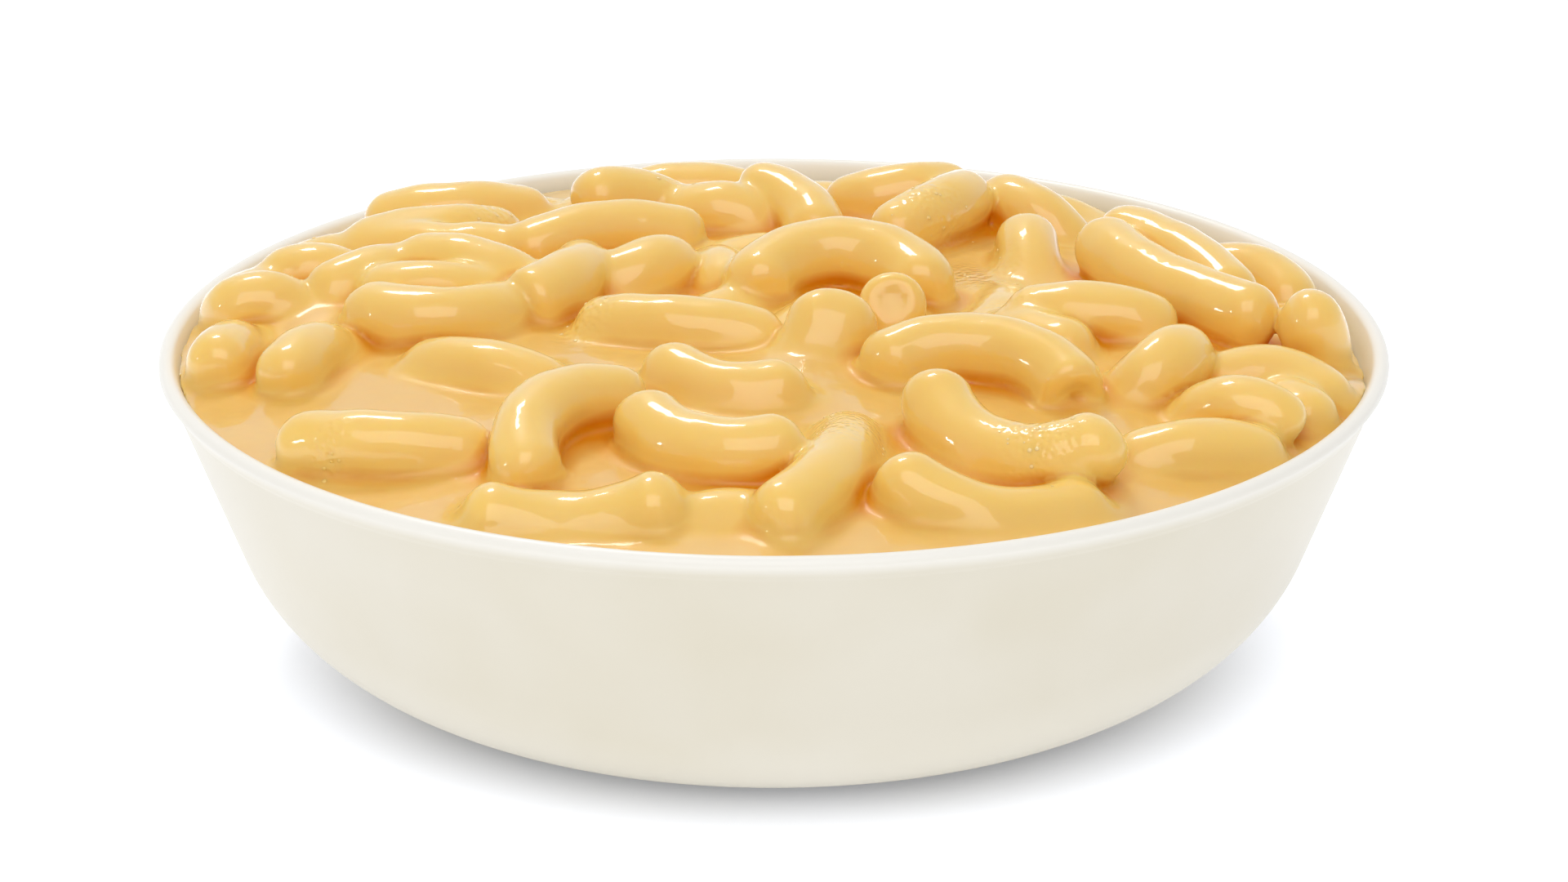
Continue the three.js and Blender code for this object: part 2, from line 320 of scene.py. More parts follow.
def lathe_tree():
    """Sweeps an outline round the Z axis and closes it there."""
    tree, given, result = tree_with("Lathe", Sides="NodeSocketInt", Material="NodeSocketMaterial")
    circle = add_node(tree, "GeometryNodeCurvePrimitiveCircle", Resolution=given["Sides"],
                      Radius=HAIR_RADIUS)
    sweep = add_node(tree, "GeometryNodeCurveToMesh", Curve=circle.outputs["Curve"],
                     Profile_Curve=given["Geometry"])
    merged = add_node(tree, "GeometryNodeMergeByDistance", Geometry=sweep.outputs["Mesh"],
                      Distance=MERGE_REACH)
    finish_tree(tree, result, merged.outputs["Geometry"], given["Material"])
    return tree


def outline_curve(name, outline):
    """The outline as a poly curve: radius along X and height down Y, as the sweep asks."""
    data = bpy.data.curves.new(name, "CURVE")
    data.dimensions = "3D"
    spline = data.splines.new("POLY")
    spline.points.add(len(outline) - 1)
    for point, (radius, height) in zip(spline.points, outline[::-1]):
        point.co = (radius * MM, -height * MM, 0, 1)
    curve = bpy.data.objects.new(name, data)
    bpy.context.scene.collection.objects.link(curve)
    return curve


BOWL_SIDES = 192
profile = outline_curve("bowl_outline", bowl_outline)
bowl = grow("cream_bowl", profile, lathe_tree(), Sides=BOWL_SIDES, Material=glaze)
bpy.data.objects.remove(profile)
print("bowl:", solid_facts(bowl), [round(side / MM, 2) for side in bowl.dimensions])
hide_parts("bowl")
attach(bowl, "root")


# %% [markdown]
# ## Where the elbows lie
# Each elbow that shows is one short row of sizes that a cook could read: where the middle of its
# centre line is, how far it is turned, rolled and leaned, how much it is curled, and how long that
# line is. The last number says which end is open: 1 for the far one, -1 for the near one, and 0
# where sauce has closed both.

# %% Elbows that show
# x, y, rise above the rim, heading, roll, pitch, bend, length, open end (mm and degrees)
FRONT_ELBOWS = [
    (-66.5, -8, 0.4, 80, 90, -16, 35, 11, 0),
    (-56, -13, 2.1, 68, 90, -12, 50, 13, 0),
    (-45.5, -44.5, 2, -7, 150, 0, 50, 18, 0),
    (-35, -18, 1.6, -26, 118, 0, 40, 13.5, 0),
    (-27, -41, 5, 61, 29, 6, 90, 22, 0),
    (-22.5, -60.5, -2, -2, -81, 5, 45, 19, 0),
    (-6.5, -28.5, 2.6, -22, -162, -2, 70, 13.5, 0),
    (-8.5, -49, 3.2, -26, -169, -2, 80, 17, 0),
    (-5, -60, -2, 5, 90, 0, 60, 11, 0),
    (4.2, -13.5, 2.2, -170, 9, -67, 60, 8.5, 0),
    (7, -52.5, 1.6, -108, 27, 0, 45, 24, 0),
    (25, -58.5, -2, 6, -145, -12, 65, 20.5, 0),
    (26, -46.5, 1.5, -33, -141, -4, 90, 23, 0),
    (25.5, -19.5, 5.3, -15, 22, -1, 85, 22.5, 1),
    (46, -21.5, 2.6, -146, 48, -29, 120, 11, 0),
    (54, -30, 1.3, -28, 110, 16, 80, 9, 1),
    (61.5, -20.5, -2.1, 115, 90, -15, 40, 10, 0),
    (50, -40, -0.6, 13, 114, -2, 45, 13, 0),
    (67, -5, 0, 67, 150, -80, 50, 8, 0),
    (61, -15.5, 0, -12, 33, -5, 75, 11.5, 0),
]
MIDDLE_ELBOWS = [
    (-64, 4.5, 2.9, 8, 113, 0, 50, 5, 0),
    (-65.5, 11.5, 0.9, 66, 90, -6, 40, 11, 0),
    (-48, 11, 4.3, 30, 90, -6, 50, 15, 0),
    (-41, -5.5, 4.2, 6, 172, -2, 95, 16.5, 0),
    (-41, 3.5, 4.5, 2, 137, -5, 50, 13, 0),
    (-37, 9, 5.8, -20, 100, -9, 50, 14, 0),
    (-25, 8, 5, -107, 27, 6, 50, 15, 1),
    (-17.5, 11.5, 4, 26, 130, 20, 90, 10, 0),
    (-7, 18, 1.8, 100, 90, -15, 40, 11, 0),
    (-11.7, -8, 4, -13, 132, 0, 35, 18.5, 0),
    (8.5, 14.5, 6.5, -2, 17, 0, 135, 25.5, 0),
    (14.6, 1.5, 0.5, 90, 90, -55, 30, 11, -1),
    (32.7, 20, 1, -85, 99, -35, 60, 14, 0),
    (31.5, -8, 1.8, -55, 144, 10, 45, 11, 0),
    (39, -4.5, 4.5, -7, 104, -1, 40, 13.5, 0),
    (49, 7, 4.4, -52, -173, -4, 30, 26.5, 0),
]
BACK_ELBOWS = [
    (-58, 16, 2.6, -1, 75, -2, 45, 5.5, 0),
    (-54, 31, -1, -15, 90, 0, 50, 13, 0),
    (-47, 27, 2, -25, 100, 5, 50, 14, 0),
    (-43.5, 31, 3, 14, 140, 0, 60, 16, 0),
    (-41.5, 44.3, 2, 7, 140, 0, 60, 17, 0),
    (-38, 24, 3, -5, 140, 0, 60, 13, 0),
    (-22, 27, 5, 18, 50, 0, 40, 19, 0),
    (-17.5, 42.5, 4.2, 17, 61, -19, 40, 11, 0),
    (-11.5, 59.5, 0.2, 2, 60, 0, 45, 18, 0),
    (-7.5, 39.5, 3.5, -13, 110, 3, 80, 11, 0),
    (3, 39, 4.5, -55, 15, -10, 45, 11.5, 0),
    (16.5, 46, 4, 6, 143, 6, 65, 12.5, 0),
    (21, 35.5, 5, -126, 38, -2, 45, 13.5, 0),
    (34, 42.5, 2, -38, 117, -20, 60, 9, 0),
    (52, 18.5, 4, -54, 27, -7, 30, 19.5, 0),
    (62, 23, 0, -35, 34, -8, 70, 10, 0),
    (6.8, -13.3, 1.6, -170, 9, -67, 60, 8.5, 0),
]


# %% [markdown]
# Between and behind those, a sunflower spiral spreads sunk elbows evenly, as they really settle.
# None lies at the front, where the sauce has pooled and is smooth. Each lies roughly along the
# bowl's wall, with a swing to either side.

# %% The sauce's level and the sunk elbows
FIT_GAP = 0.3
CAVITY_RADIUS = RIM_RADIUS - RIM_THICKNESS - FIT_GAP
SAUCE_EDGE_DROP = 2.5
SAUCE_DOME = 5.0
SAUCE_DOME_POWER = 3
SAUCE_WAVE = 0.5
SAUCE_WAVE_LENGTH = 23.0
SAUCE_TILT = 0.8
# x, y, height, radius of a few soft mounds (mm)
SAUCE_MOUNDS = [
    (-57, 3, 3.0, 8),
    (-40, -30, -0.8, 12),
    (2, -24, 1.0, 9),
    (5, -15, 2.0, 6),
    (33, 17, 0.6, 7),
    (46, -12, 1.5, 9),
    (-71, -13, 0.5, 6),
    (71, -14, 1.6, 6),
]
GOLDEN_ANGLE = math.degrees(math.pi * (3 - math.sqrt(5)))
SPIRAL_PLACES = 120
SPIRAL_RADIUS = 68.0
SUNK_FRONT = -12.0
SUNK_RISE = -2.0
SUNK_LENGTH = 15.0
SUNK_BEND = 75.0
SUNK_SWING = 60.0
SUNK_LEAST_ROLL = 90.0
SUNK_ROLL_STEP = 37.0
SUNK_CLEARANCE = 7.2


def sauce_level(x, y):
    """Height of the sauce between the elbows: a low dome with slow waves and a few mounds."""
    reach = np.minimum(np.hypot(x, y) / CAVITY_RADIUS, 1)
    wave = np.sin(x / SAUCE_WAVE_LENGTH * math.pi) * np.cos(y / SAUCE_WAVE_LENGTH * math.pi)
    dome = SAUCE_DOME * (1 - reach ** SAUCE_DOME_POWER)
    level = BOWL_HEIGHT - SAUCE_EDGE_DROP + dome + SAUCE_WAVE * wave * (1 - reach)
    for mound_x, mound_y, height, radius in SAUCE_MOUNDS:
        level = level + height * np.exp(-((x - mound_x) ** 2 + (y - mound_y) ** 2) / radius ** 2)
    return level - SAUCE_TILT * x / RIM_RADIUS


def covers(row, x, y):
    """True where an elbow's middle or either end is close to a place."""
    heading = math.radians(row[3])
    half = row[7] / 2
    spots = [(row[0] + s * half * math.cos(heading), row[1] + s * half * math.sin(heading))
             for s in (-1, 0, 1)]
    return any(math.hypot(x - spot[0], y - spot[1]) < SUNK_CLEARANCE for spot in spots)


def sunk_elbows(shown):
    """Rows for the sunk elbows, one at each spiral place that no other elbow covers."""
    rows = []
    for i in range(SPIRAL_PLACES):
        distance = SPIRAL_RADIUS * math.sqrt((i + 0.5) / SPIRAL_PLACES)
        angle = math.radians(GOLDEN_ANGLE * i)
        x, y = distance * math.cos(angle), distance * math.sin(angle)
        if y < SUNK_FRONT or any(covers(row, x, y) for row in shown + rows):
            continue
        rise = float(sauce_level(x, y)) - BOWL_HEIGHT + SUNK_RISE
        along_wall = math.degrees(angle) + 90
        heading = along_wall + (i * GOLDEN_ANGLE) % SUNK_SWING - SUNK_SWING / 2
        roll = SUNK_LEAST_ROLL + (i * SUNK_ROLL_STEP) % SUNK_SWING
        rows.append((x, y, rise, heading, roll, 0, SUNK_BEND, SUNK_LENGTH, 0))
    return rows


shown = FRONT_ELBOWS + MIDDLE_ELBOWS + BACK_ELBOWS
elbows = shown + sunk_elbows(shown)
print(len(shown), "elbows show and", len(elbows) - len(shown), "are sunk")


# %% [markdown]
# ## Elbows in sauce, as one wet surface
# Sauce clings to pasta in one skin, and its surface tension rounds every inner corner. A distance
# field says exactly that: each point of a fine grid holds its distance to the nearest surface, and
# a smooth minimum of two such distances is a fillet. The field is then skinned into a mesh.

# %% A grid over the upper part of the heap
VOXEL = 0.63
HEAP_FLOOR = 36.0
HEAP_TOP = 54.0
ELBOW_SEED = 7
axis_xy = np.arange(-RIM_RADIUS, RIM_RADIUS + VOXEL, VOXEL, dtype=np.float32)
axis_z = np.arange(HEAP_FLOOR - 2 * VOXEL, HEAP_TOP, VOXEL, dtype=np.float32)
grid_x, grid_y, grid_z = np.meshgrid(axis_xy, axis_xy, axis_z, indexing="ij", sparse=True)
random = np.random.default_rng(ELBOW_SEED)
print("grid", np.broadcast(grid_x, grid_y, grid_z).shape)


def smooth_min(a, b, fillet):
    """The smaller of two distances, with a fillet of about that size where they meet."""
    overlap = np.maximum(fillet - np.abs(a - b), 0) / fillet
    return np.minimum(a, b) - overlap * overlap * fillet / 4


# The second set of crests runs along another line than the first, and leans.
CREST_LINE = (0.8, -0.6)
CREST_LEAN = 0.5


def ripple(x, y, z, length, phases):
    """A slow unevenness between -1 and 1, with crests about that many millimetres apart."""
    k = 2 * math.pi / length
    turned = CREST_LINE[0] * x + CREST_LINE[1] * y
    first = np.sin(k * x + phases[0]) * np.sin(k * y + phases[1])
    second = np.sin(k * turned + phases[2]) * np.sin(k * (z + CREST_LEAN * x) + phases[3])
    return (first + second) / 2


# %% [markdown]
# One elbow is a bent rod. Its distance is easy in the frame of its own arc: how far along the arc
# a point is, and how far off it. Real ones are never quite round or straight, so each gets its own
# thickness, a slightly oval section and a slow ripple. The few open ends have a shallow dish,
# since the sauce has run into the hole and left only its mouth.

# %% One elbow's distance field
ELBOW_RADIUS = 4.2
ELBOW_UNEVEN = 0.05
THICKNESS_SPREAD = (-0.6, 1.0)
OVAL_SPREAD = (-0.5, 0.5)
ELBOW_RIPPLE = 0.13
ELBOW_RIPPLE_LENGTH = 9.0
CLOSED_END_ROUNDING = 3.6
OPEN_END_ROUNDING = 2.0
END_REACH = 3.8
HOLE_RADIUS = 1.9
HOLE_DEPTH = 0.55
HOLE_SOFTNESS = 0.5


def elbow_axes(heading, roll, pitch):
    """Unit vectors along an elbow, towards its back, and across both."""
    h, r, p = (math.radians(a) for a in (heading, roll, pitch))
    along = np.array([math.cos(h) * math.cos(p), math.sin(h) * math.cos(p), math.sin(p)])
    left = np.array([-math.sin(h), math.cos(h), 0])
    back = left * math.cos(r) + np.cross(along, left) * math.sin(r)
    return along, back, np.cross(along, back)


def elbow_distance(x, y, z, row, radius, oval, phases):
    """Distance to one curled elbow, with round ends or a dished open one."""
    along, back, across = elbow_axes(row[3], row[4], row[5])
    bend, length, open_end = math.radians(row[6]), row[7], row[8]
    curl = length / bend
    px, py, pz = x - row[0], y - row[1], z - (BOWL_HEIGHT + row[2])
    a = px * along[0] + py * along[1] + pz * along[2]
    b = px * back[0] + py * back[1] + pz * back[2] + curl
    c = px * across[0] + py * across[1] + pz * across[2]
    arc = np.arctan2(a, b) * curl
    off = np.hypot((np.hypot(a, b) - curl) / oval, c * oval)
    rounding = np.where(arc * open_end > 0, OPEN_END_ROUNDING, CLOSED_END_ROUNDING)
    ring = off - (radius - rounding)
    cap = np.abs(arc) - (length / 2 + END_REACH - rounding)
    corner = np.hypot(np.maximum(ring, 0), np.maximum(cap, 0))
    body = corner + np.minimum(np.maximum(ring, cap), 0) - rounding
    body = body + ELBOW_RIPPLE * ripple(x, y, z, ELBOW_RIPPLE_LENGTH, phases)
    if open_end:
        past_face = length / 2 + END_REACH - arc * open_end
        hole = np.hypot(np.maximum(off, 0) / HOLE_RADIUS, past_face / HOLE_DEPTH) - 1
        body = -smooth_min(-body, hole * HOLE_DEPTH, HOLE_SOFTNESS)
    return body


def window(centre, half):
    """The slice of each grid axis that lies within half of a centre."""
    spans = []
    for axis, middle in zip((axis_xy, axis_xy, axis_z), centre):
        spans.append(slice(*np.searchsorted(axis, (middle - half, middle + half))))
    return tuple(spans)


# %% Fuse the elbows
ELBOW_FILLET = 1.3
FAR = 9.0
pasta = np.full(np.broadcast(grid_x, grid_y, grid_z).shape, FAR, dtype=np.float32)
for row in elbows:
    radius = ELBOW_RADIUS * (1 + ELBOW_UNEVEN * random.uniform(*THICKNESS_SPREAD))
    oval = 1 + ELBOW_UNEVEN * random.uniform(*OVAL_SPREAD)
    phases = random.uniform(0, 2 * math.pi, 4)
    box = window((row[0], row[1], BOWL_HEIGHT + row[2]), row[7] / 2 + 2 * ELBOW_RADIUS)
    place = (grid_x[box[0]], grid_y[:, box[1]], grid_z[:, :, box[2]])
    pasta[box] = smooth_min(pasta[box], elbow_distance(*place, row, radius, oval, phases), ELBOW_FILLET)
print("pasta fills", round(float((pasta < 0).sum()) * VOXEL ** 3 / MM3_IN_CM3), "cm3 of the grid")


# %% [markdown]
# The sauce is a level with a low dome. It climbs every elbow that it touches, so its fillet is
# larger than the one between two elbows. Whatever would reach past the bowl's wall is cut off
# there, a hair inside the glaze, so no gap shows between food and dish.

# %% Pour the sauce
SAUCE_FILLET = 2.4
SAUCE_RIPPLE = 0.15
SAUCE_RIPPLE_LENGTH = 15.0
SAUCE_RIPPLE_PHASES = (0.4, 1.9, 3.1, 0.7)
INTO_WALL = 0.05
swirl = ripple(grid_x, grid_y, grid_z, SAUCE_RIPPLE_LENGTH, SAUCE_RIPPLE_PHASES)
sauce = grid_z - sauce_level(grid_x, grid_y) + SAUCE_RIPPLE * swirl
wet = smooth_min(pasta, sauce, SAUCE_FILLET).astype(np.float32)
past_wall = np.hypot(grid_x, grid_y) - wall_at(grid_z) - INTO_WALL
heap = np.maximum(wet, past_wall)
skin_field = np.maximum(heap, HEAP_FLOOR - grid_z)


# %% Skin the field and carry it down to the bowl's floor
FOOD_GAP = 0.05
BODY_RINGS = 8


def skin(field):
    """Points in millimetres, and faces, of the surface where a field is zero, open below."""
    grid = openvdb.FloatGrid()
    grid.copyFromArray(np.ascontiguousarray(field, dtype=np.float32))
    points, triangles, quads = grid.convertToPolygons(isovalue=0, adaptivity=0)
    points = points * VOXEL + np.array([axis_xy[0], axis_xy[0], axis_z[0]])
    kept = points[:, 2] > HEAP_FLOOR + VOXEL / 2
    number = np.cumsum(kept) - 1
    faces = []
    for group in (triangles, quads):
        whole = group[kept[group].all(axis=1)]
        faces += number[whole].tolist()
    return points[kept], faces


def open_edges(faces):
    """The edges that only one face has, in that face's own direction."""
    edges = dict.fromkeys(edge for face in faces for edge in zip(face, face[1:] + face[:1]))
    return [(a, b) for a, b in edges if (b, a) not in edges]


def carry_down(points, faces):
    """Draws the open lower edge down along the bowl's inner wall and closes it on the floor.

    New points and faces follow the order of the edges, so every run numbers them alike and the
    bubbles that are dropped on them fall in the same places.
    """
    floor = FLOOR_THICKNESS + FOOD_GAP
    edges = open_edges(faces)
    rim = [a for a, b in edges]
    outward = points[rim, :2] / np.linalg.norm(points[rim, :2], axis=1, keepdims=True)
    for height in np.linspace(HEAP_FLOOR, floor, BODY_RINGS + 1)[1:]:
        ring = outward * (wall_at(height) - FOOD_GAP)
        below = dict(zip(rim, range(len(points), len(points) + len(rim))))
        points = np.vstack([points, np.column_stack([ring, np.full(len(rim), height)])])
        faces = faces + [[b, a, below[a], below[b]] for a, b in edges]
        edges = [(below[a], below[b]) for a, b in edges]
        rim = [below[corner] for corner in rim]
    middle = len(points)
    return np.vstack([points, (0, 0, floor)]), faces + [[b, a, middle] for a, b in edges]


points, faces = carry_down(*skin(skin_field))
macaroni = mesh_object("macaroni_in_sauce", points, faces)
print("heap:", solid_facts(macaroni))


# %% [markdown]
# A wet skin mirrors its surroundings, and a grid's small steps would show in that mirror. So the
# mesh takes its normals from the field itself, whose slope is exact at every point. The same field
# tells each point how deep the sauce is over the pasta, and how far down in a hollow it lies.

# %% Normals and attributes from the field
HOLLOW_BLUR = 2.2
WALL_SHARE = 0.55
POOL_DEPTH = 2.6
# how many widths of the bell curve a blur reaches to, and how far a sample keeps from the
# grid's last point (cells)
BELL_REACH = 2.5
GRID_MARGIN = 1.001


def sample(field, places):
    """A field's values at points in millimetres, read between its grid points."""
    origin = np.array([axis_xy[0], axis_xy[0], axis_z[0]])
    spot = np.clip((places - origin) / VOXEL, 0, np.array(field.shape) - GRID_MARGIN)
    low = spot.astype(int)
    part = spot - low
    total = np.zeros(len(places))
    for corner in np.ndindex(2, 2, 2):
        weight = np.prod(np.where(corner, part, 1 - part), axis=1)
        total += weight * field[tuple((low + corner).T)]
    return total


def blurred(field, reach):
    """A field blurred by a bell curve that many millimetres wide, one axis after another."""
    far = round(BELL_REACH * reach / VOXEL)
    bell = np.exp(-0.5 * (np.arange(-far, far + 1) * VOXEL / reach) ** 2)
    for axis in range(3):
        edge = [(far, far) if a == axis else (0, 0) for a in range(3)]
        padded = np.pad(field, edge, mode="edge")
        size = field.shape[axis]
        parts = [w * np.take(padded, range(i, i + size), axis) for i, w in enumerate(bell / bell.sum())]
        field = sum(parts)
    return field


def mesh_points(mesh):
    """A mesh's points in millimetres."""
    flat = np.empty(len(mesh.vertices) * 3)
    mesh.vertices.foreach_get("co", flat)
    return flat.reshape(-1, 3) / MM


def set_attribute(mesh, name, values):
    """Stores one number for each point."""
    stored = mesh.attributes.new(name, "FLOAT", "POINT")
    stored.data.foreach_set("value", np.asarray(values, dtype=np.float32))


food_points = mesh_points(macaroni.data)
slopes = np.stack([sample(slope, food_points) for slope in np.gradient(wet)], 1)
slopes /= np.linalg.norm(slopes, axis=1, keepdims=True)
# Where the normal given is zero, below the grid and on the cut at the wall, the mesh's own stays.
slopes[(food_points[:, 2] < HEAP_FLOOR + VOXEL) | (sample(wet, food_points) < -VOXEL)] = 0
macaroni.data.normals_split_custom_set_from_vertices(slopes.tolist())
# The hollow number drives the sauce's painted shade: orange colour and a duller coat where it is high.
# The bowl's wall counts as partly filled, so sauce next to it gets some of that painted shade.
in_bowl = (past_wall > 0) & (grid_z < BOWL_HEIGHT)
filled = np.where(in_bowl, WALL_SHARE, np.clip(0.5 - heap / VOXEL, 0, 1)).astype(np.float32)
hollow = sample(blurred(filled, HOLLOW_BLUR), food_points)
pool = np.clip(sample(pasta, food_points) / POOL_DEPTH, 0, 1)
set_attribute(macaroni.data, "hollow", hollow)
set_attribute(macaroni.data, "pool", pool)
print("hollow from", round(float(hollow.min()), 2), "to", round(float(hollow.max()), 2))


# %% [markdown]
# Where sauce was folded over, it keeps patches of fine froth. They catch the light in crumpled
# sparks. Each patch is a soft spot with a place and a size.

# %% Froth patches
# x, y, radius (mm)
FROTH = [
    (-35.5, 33.6, 4.0),
    (-12.7, 44.1, 3.5),
    (19.7, 31.4, 4.0),
    (30.9, -49.7, 4.0),
    (7.9, -45.5, 5.0),
    (-23.0, -6.0, 3.5),
    (-30.0, 51.8, 4.0),
    (25.0, 17.8, 4.5),
    (-51.8, -47.0, 2.0),
    (29.5, -1.5, 3.0),
    (48.0, 44.0, 4.0),
    (-62.0, 30.0, 3.0),
]
# how strong the froth is where a point counts as covered
FROTH_COUNTS = 0.5
froth = np.zeros(len(food_points))
for x, y, reach in FROTH:
    apart = np.hypot(food_points[:, 0] - x, food_points[:, 1] - y)
    froth = np.maximum(froth, np.exp(-(apart / reach) ** 2))
set_attribute(macaroni.data, "froth", froth)
print("froth covers", int((froth > FROTH_COUNTS).sum()), "points")


# %% [markdown]
# ## Cheese sauce
# Cheese sauce is milk fat and water with yellow pigment: light goes in, wanders a millimetre or
# two and comes out golden, and its wet skin mirrors windows and lamps sharply. Over pasta the
# coat is thin and the colour a little paler than in the pools. The hollows are painted a deeper
# orange, a painted shade for the light that has bounced there from sauce to sauce many times. The
# wet skin is a clear coat of its own, and in the hollows its gloss is turned down, a painted shade
# on what it mirrors there, which could only be more sauce.

# %% The sauce's shader
ON_PASTA = "f3cb6a"
IN_POOLS = "e9bb60"
PAINTED_HOLLOW_SHADE = "e0920c"
SAUCE_CLOUD = "f6d07c"
SAUCE_CLOUD_SIZE = 11.0
SAUCE_CLOUD_RANGE = (0.45, 0.75)
SAUCE_CLOUD_MOST = 0.35
SCATTER_DEPTH = 1.0
SCATTER_RADII = (0.8, 0.7, 0.5)
SKIN_WAVE_SIZE = 2.6
SKIN_WAVE_DEPTH = 0.07
SKIN_WAVE_DETAIL = 1.0
SAUCE_ROUGHNESS = 0.38
WET_ROUGHNESS = 0.03
SAUCE_IOR = 1.45
# how hollow a place is where the painted shade starts to turn it orange or to dull its gloss, and where
# it has
PAINTED_SHADE_RANGE = (0.58, 0.72)
PAINTED_GLOSS_SHADE_RANGE = (0.51, 0.59)
COAT_IN_PAINTED_SHADE = 0.1
FROTH_SIZE = 0.8
FROTH_DEPTH = 0.25


def attribute(tree, name):
    """A number stored on the mesh's points."""
    return add_node(tree, "ShaderNodeAttribute", {"attribute_name": name}).outputs["Fac"]


def sauce_colour(tree, place, hollow):
    """Golden over pasta, a little deeper in the pools, paler in slow clouds, painted orange shade in
    hollows.
    """
    coated = blend(tree, attribute(tree, "pool"), linear(ON_PASTA), linear(IN_POOLS))
    lumps = noise(tree, place, SAUCE_CLOUD_SIZE).outputs["Fac"]
    cloud = rescale(tree, lumps, *SAUCE_CLOUD_RANGE, 0.0, SAUCE_CLOUD_MOST)
    clouded = blend(tree, cloud, coated, linear(SAUCE_CLOUD))
    # The hollows get a painted orange shade.
    return blend(tree, rescale(tree, hollow, *PAINTED_SHADE_RANGE), clouded, linear(PAINTED_HOLLOW_SHADE))


def sauce_skin(tree, place):
    """A normal with soft waves all over and fine froth in its patches."""
    wave = noise(tree, place, SKIN_WAVE_SIZE, SKIN_WAVE_DETAIL)
    skin = add_node(tree, "ShaderNodeBump", Height=wave.outputs["Fac"], Strength=1.0,
                    Distance=SKIN_WAVE_DEPTH * MM)
    foam = add_node(tree, "ShaderNodeTexVoronoi", {"feature": "SMOOTH_F1"}, Vector=place,
                    Scale=1 / (FROTH_SIZE * MM))
    height = add_node(tree, "ShaderNodeMath", {"operation": "MULTIPLY"}, i0=foam.outputs["Distance"],
                      i1=attribute(tree, "froth"))
    wet = add_node(tree, "ShaderNodeBump", Height=height.outputs[0], Strength=1.0,
                   Distance=FROTH_DEPTH * MM, Normal=skin.outputs["Normal"])
    return wet.outputs["Normal"]


def sauce_material():
    """Golden sauce that light soaks into, under a clear wet coat."""
    material, tree, shader, place = new_material("wet cheese sauce")
    hollow = attribute(tree, "hollow")
    normal = sauce_skin(tree, place)
    # In the hollows the coat's gloss is turned down, a painted shade on its reflections.
    links = {"Base Color": sauce_colour(tree, place, hollow), "Normal": normal, "Coat Normal": normal,
             "Coat Weight": rescale(tree, hollow, *PAINTED_GLOSS_SHADE_RANGE, 1.0, COAT_IN_PAINTED_SHADE)}
    for label, socket in links.items():
        tree.links.new(socket, shader.inputs[label])
    settings = {"Roughness": SAUCE_ROUGHNESS, "IOR": SAUCE_IOR, "Coat Roughness": WET_ROUGHNESS,
                "Coat IOR": SAUCE_IOR, "Subsurface Weight": 1.0,
                "Subsurface Scale": SCATTER_DEPTH * MM, "Subsurface Radius": SCATTER_RADII}
    for label, value in settings.items():
        shader.inputs[label].default_value = value
    return material


cheese = sauce_material()
macaroni.data.materials.append(cheese)
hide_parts("macaroni")
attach(macaroni, "root")


# %% [markdown]
# ## Air bubbles
# A stirred sauce traps air. The bubbles rise and stay as small domes, in the froth and close round
# it. Geometry nodes drop them on the sauce with a density that follows the froth, a fixed seed and
# a random size between two named ones. A froth patch is known only by its place as seen from
# above, so nearly as many bubbles again lie unseen on the heap's lower side.

# %% Scatter the bubbles
BUBBLE_SKIN = "f9dda0"
BUBBLE_ROUGHNESS = 0.3
BUBBLE_FLATNESS = 0.4
BUBBLE_SMALLEST = 0.1
BUBBLE_LARGEST = 0.32
BUBBLE_SEED = 11
# per square metre of full froth
BUBBLE_DENSITY = 0.12e6


def bubble_material():
    """Sauce drawn so thin that it is paler than the rest, and as wet."""
    material, tree, shader, place = new_material("bubble skin of cheese sauce")
    cloud = rescale(tree, noise(tree, place, SAUCE_CLOUD_SIZE).outputs["Fac"], *NOISE_RANGE)
    colour = blend(tree, cloud, linear(BUBBLE_SKIN), linear(ON_PASTA))
    tree.links.new(colour, shader.inputs["Base Color"])
    settings = {"Roughness": BUBBLE_ROUGHNESS, "IOR": SAUCE_IOR, "Coat Weight": 1.0,
                "Coat Roughness": WET_ROUGHNESS}
    for label, value in settings.items():
        shader.inputs[label].default_value = value
    return material


def bubble_tree():
    """Drops flattened domes on a surface, as densely as its froth says."""
    kinds = {"Froth Density": "NodeSocketFloat", "Smallest": "NodeSocketFloat",
             "Largest": "NodeSocketFloat", "Seed": "NodeSocketInt", "Material": "NodeSocketMaterial"}
    tree, given, result = tree_with("Bubbles", **kinds)
    froth = add_node(tree, "GeometryNodeInputNamedAttribute", {"data_type": "FLOAT"}, Name="froth")
    density = add_node(tree, "ShaderNodeMath", {"operation": "MULTIPLY"}, i0=froth.outputs["Attribute"],
                       i1=given["Froth Density"])
    dropped = add_node(tree, "GeometryNodeDistributePointsOnFaces", Mesh=given["Geometry"],
                       Density=density.outputs[0], Seed=given["Seed"])
    size = add_node(tree, "FunctionNodeRandomValue", {"data_type": "FLOAT"}, i2=given["Smallest"],
                    i3=given["Largest"], Seed=given["Seed"])
    ball = add_node(tree, "GeometryNodeMeshIcoSphere", Radius=1.0, Subdivisions=2)
    dome = add_node(tree, "GeometryNodeTransform", Geometry=ball.outputs["Mesh"],
                    Scale=(1, 1, BUBBLE_FLATNESS))
    placed = add_node(tree, "GeometryNodeInstanceOnPoints", Points=dropped.outputs["Points"],
                      Instance=dome.outputs["Geometry"], Rotation=dropped.outputs["Rotation"],
                      Scale=size.outputs["Value"])
    finish_tree(tree, result, placed.outputs["Instances"], given["Material"])
    return tree


bubble_sizes = {"Smallest": BUBBLE_SMALLEST * MM, "Largest": BUBBLE_LARGEST * MM}
choices = {"Froth Density": BUBBLE_DENSITY, "Seed": BUBBLE_SEED, "Material": bubble_material()}
bubbles = grow("air_bubbles", macaroni, bubble_tree(), **choices, **bubble_sizes)
print("bubbles:", len(bubbles.data.polygons), "faces")
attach(bubbles, "root")
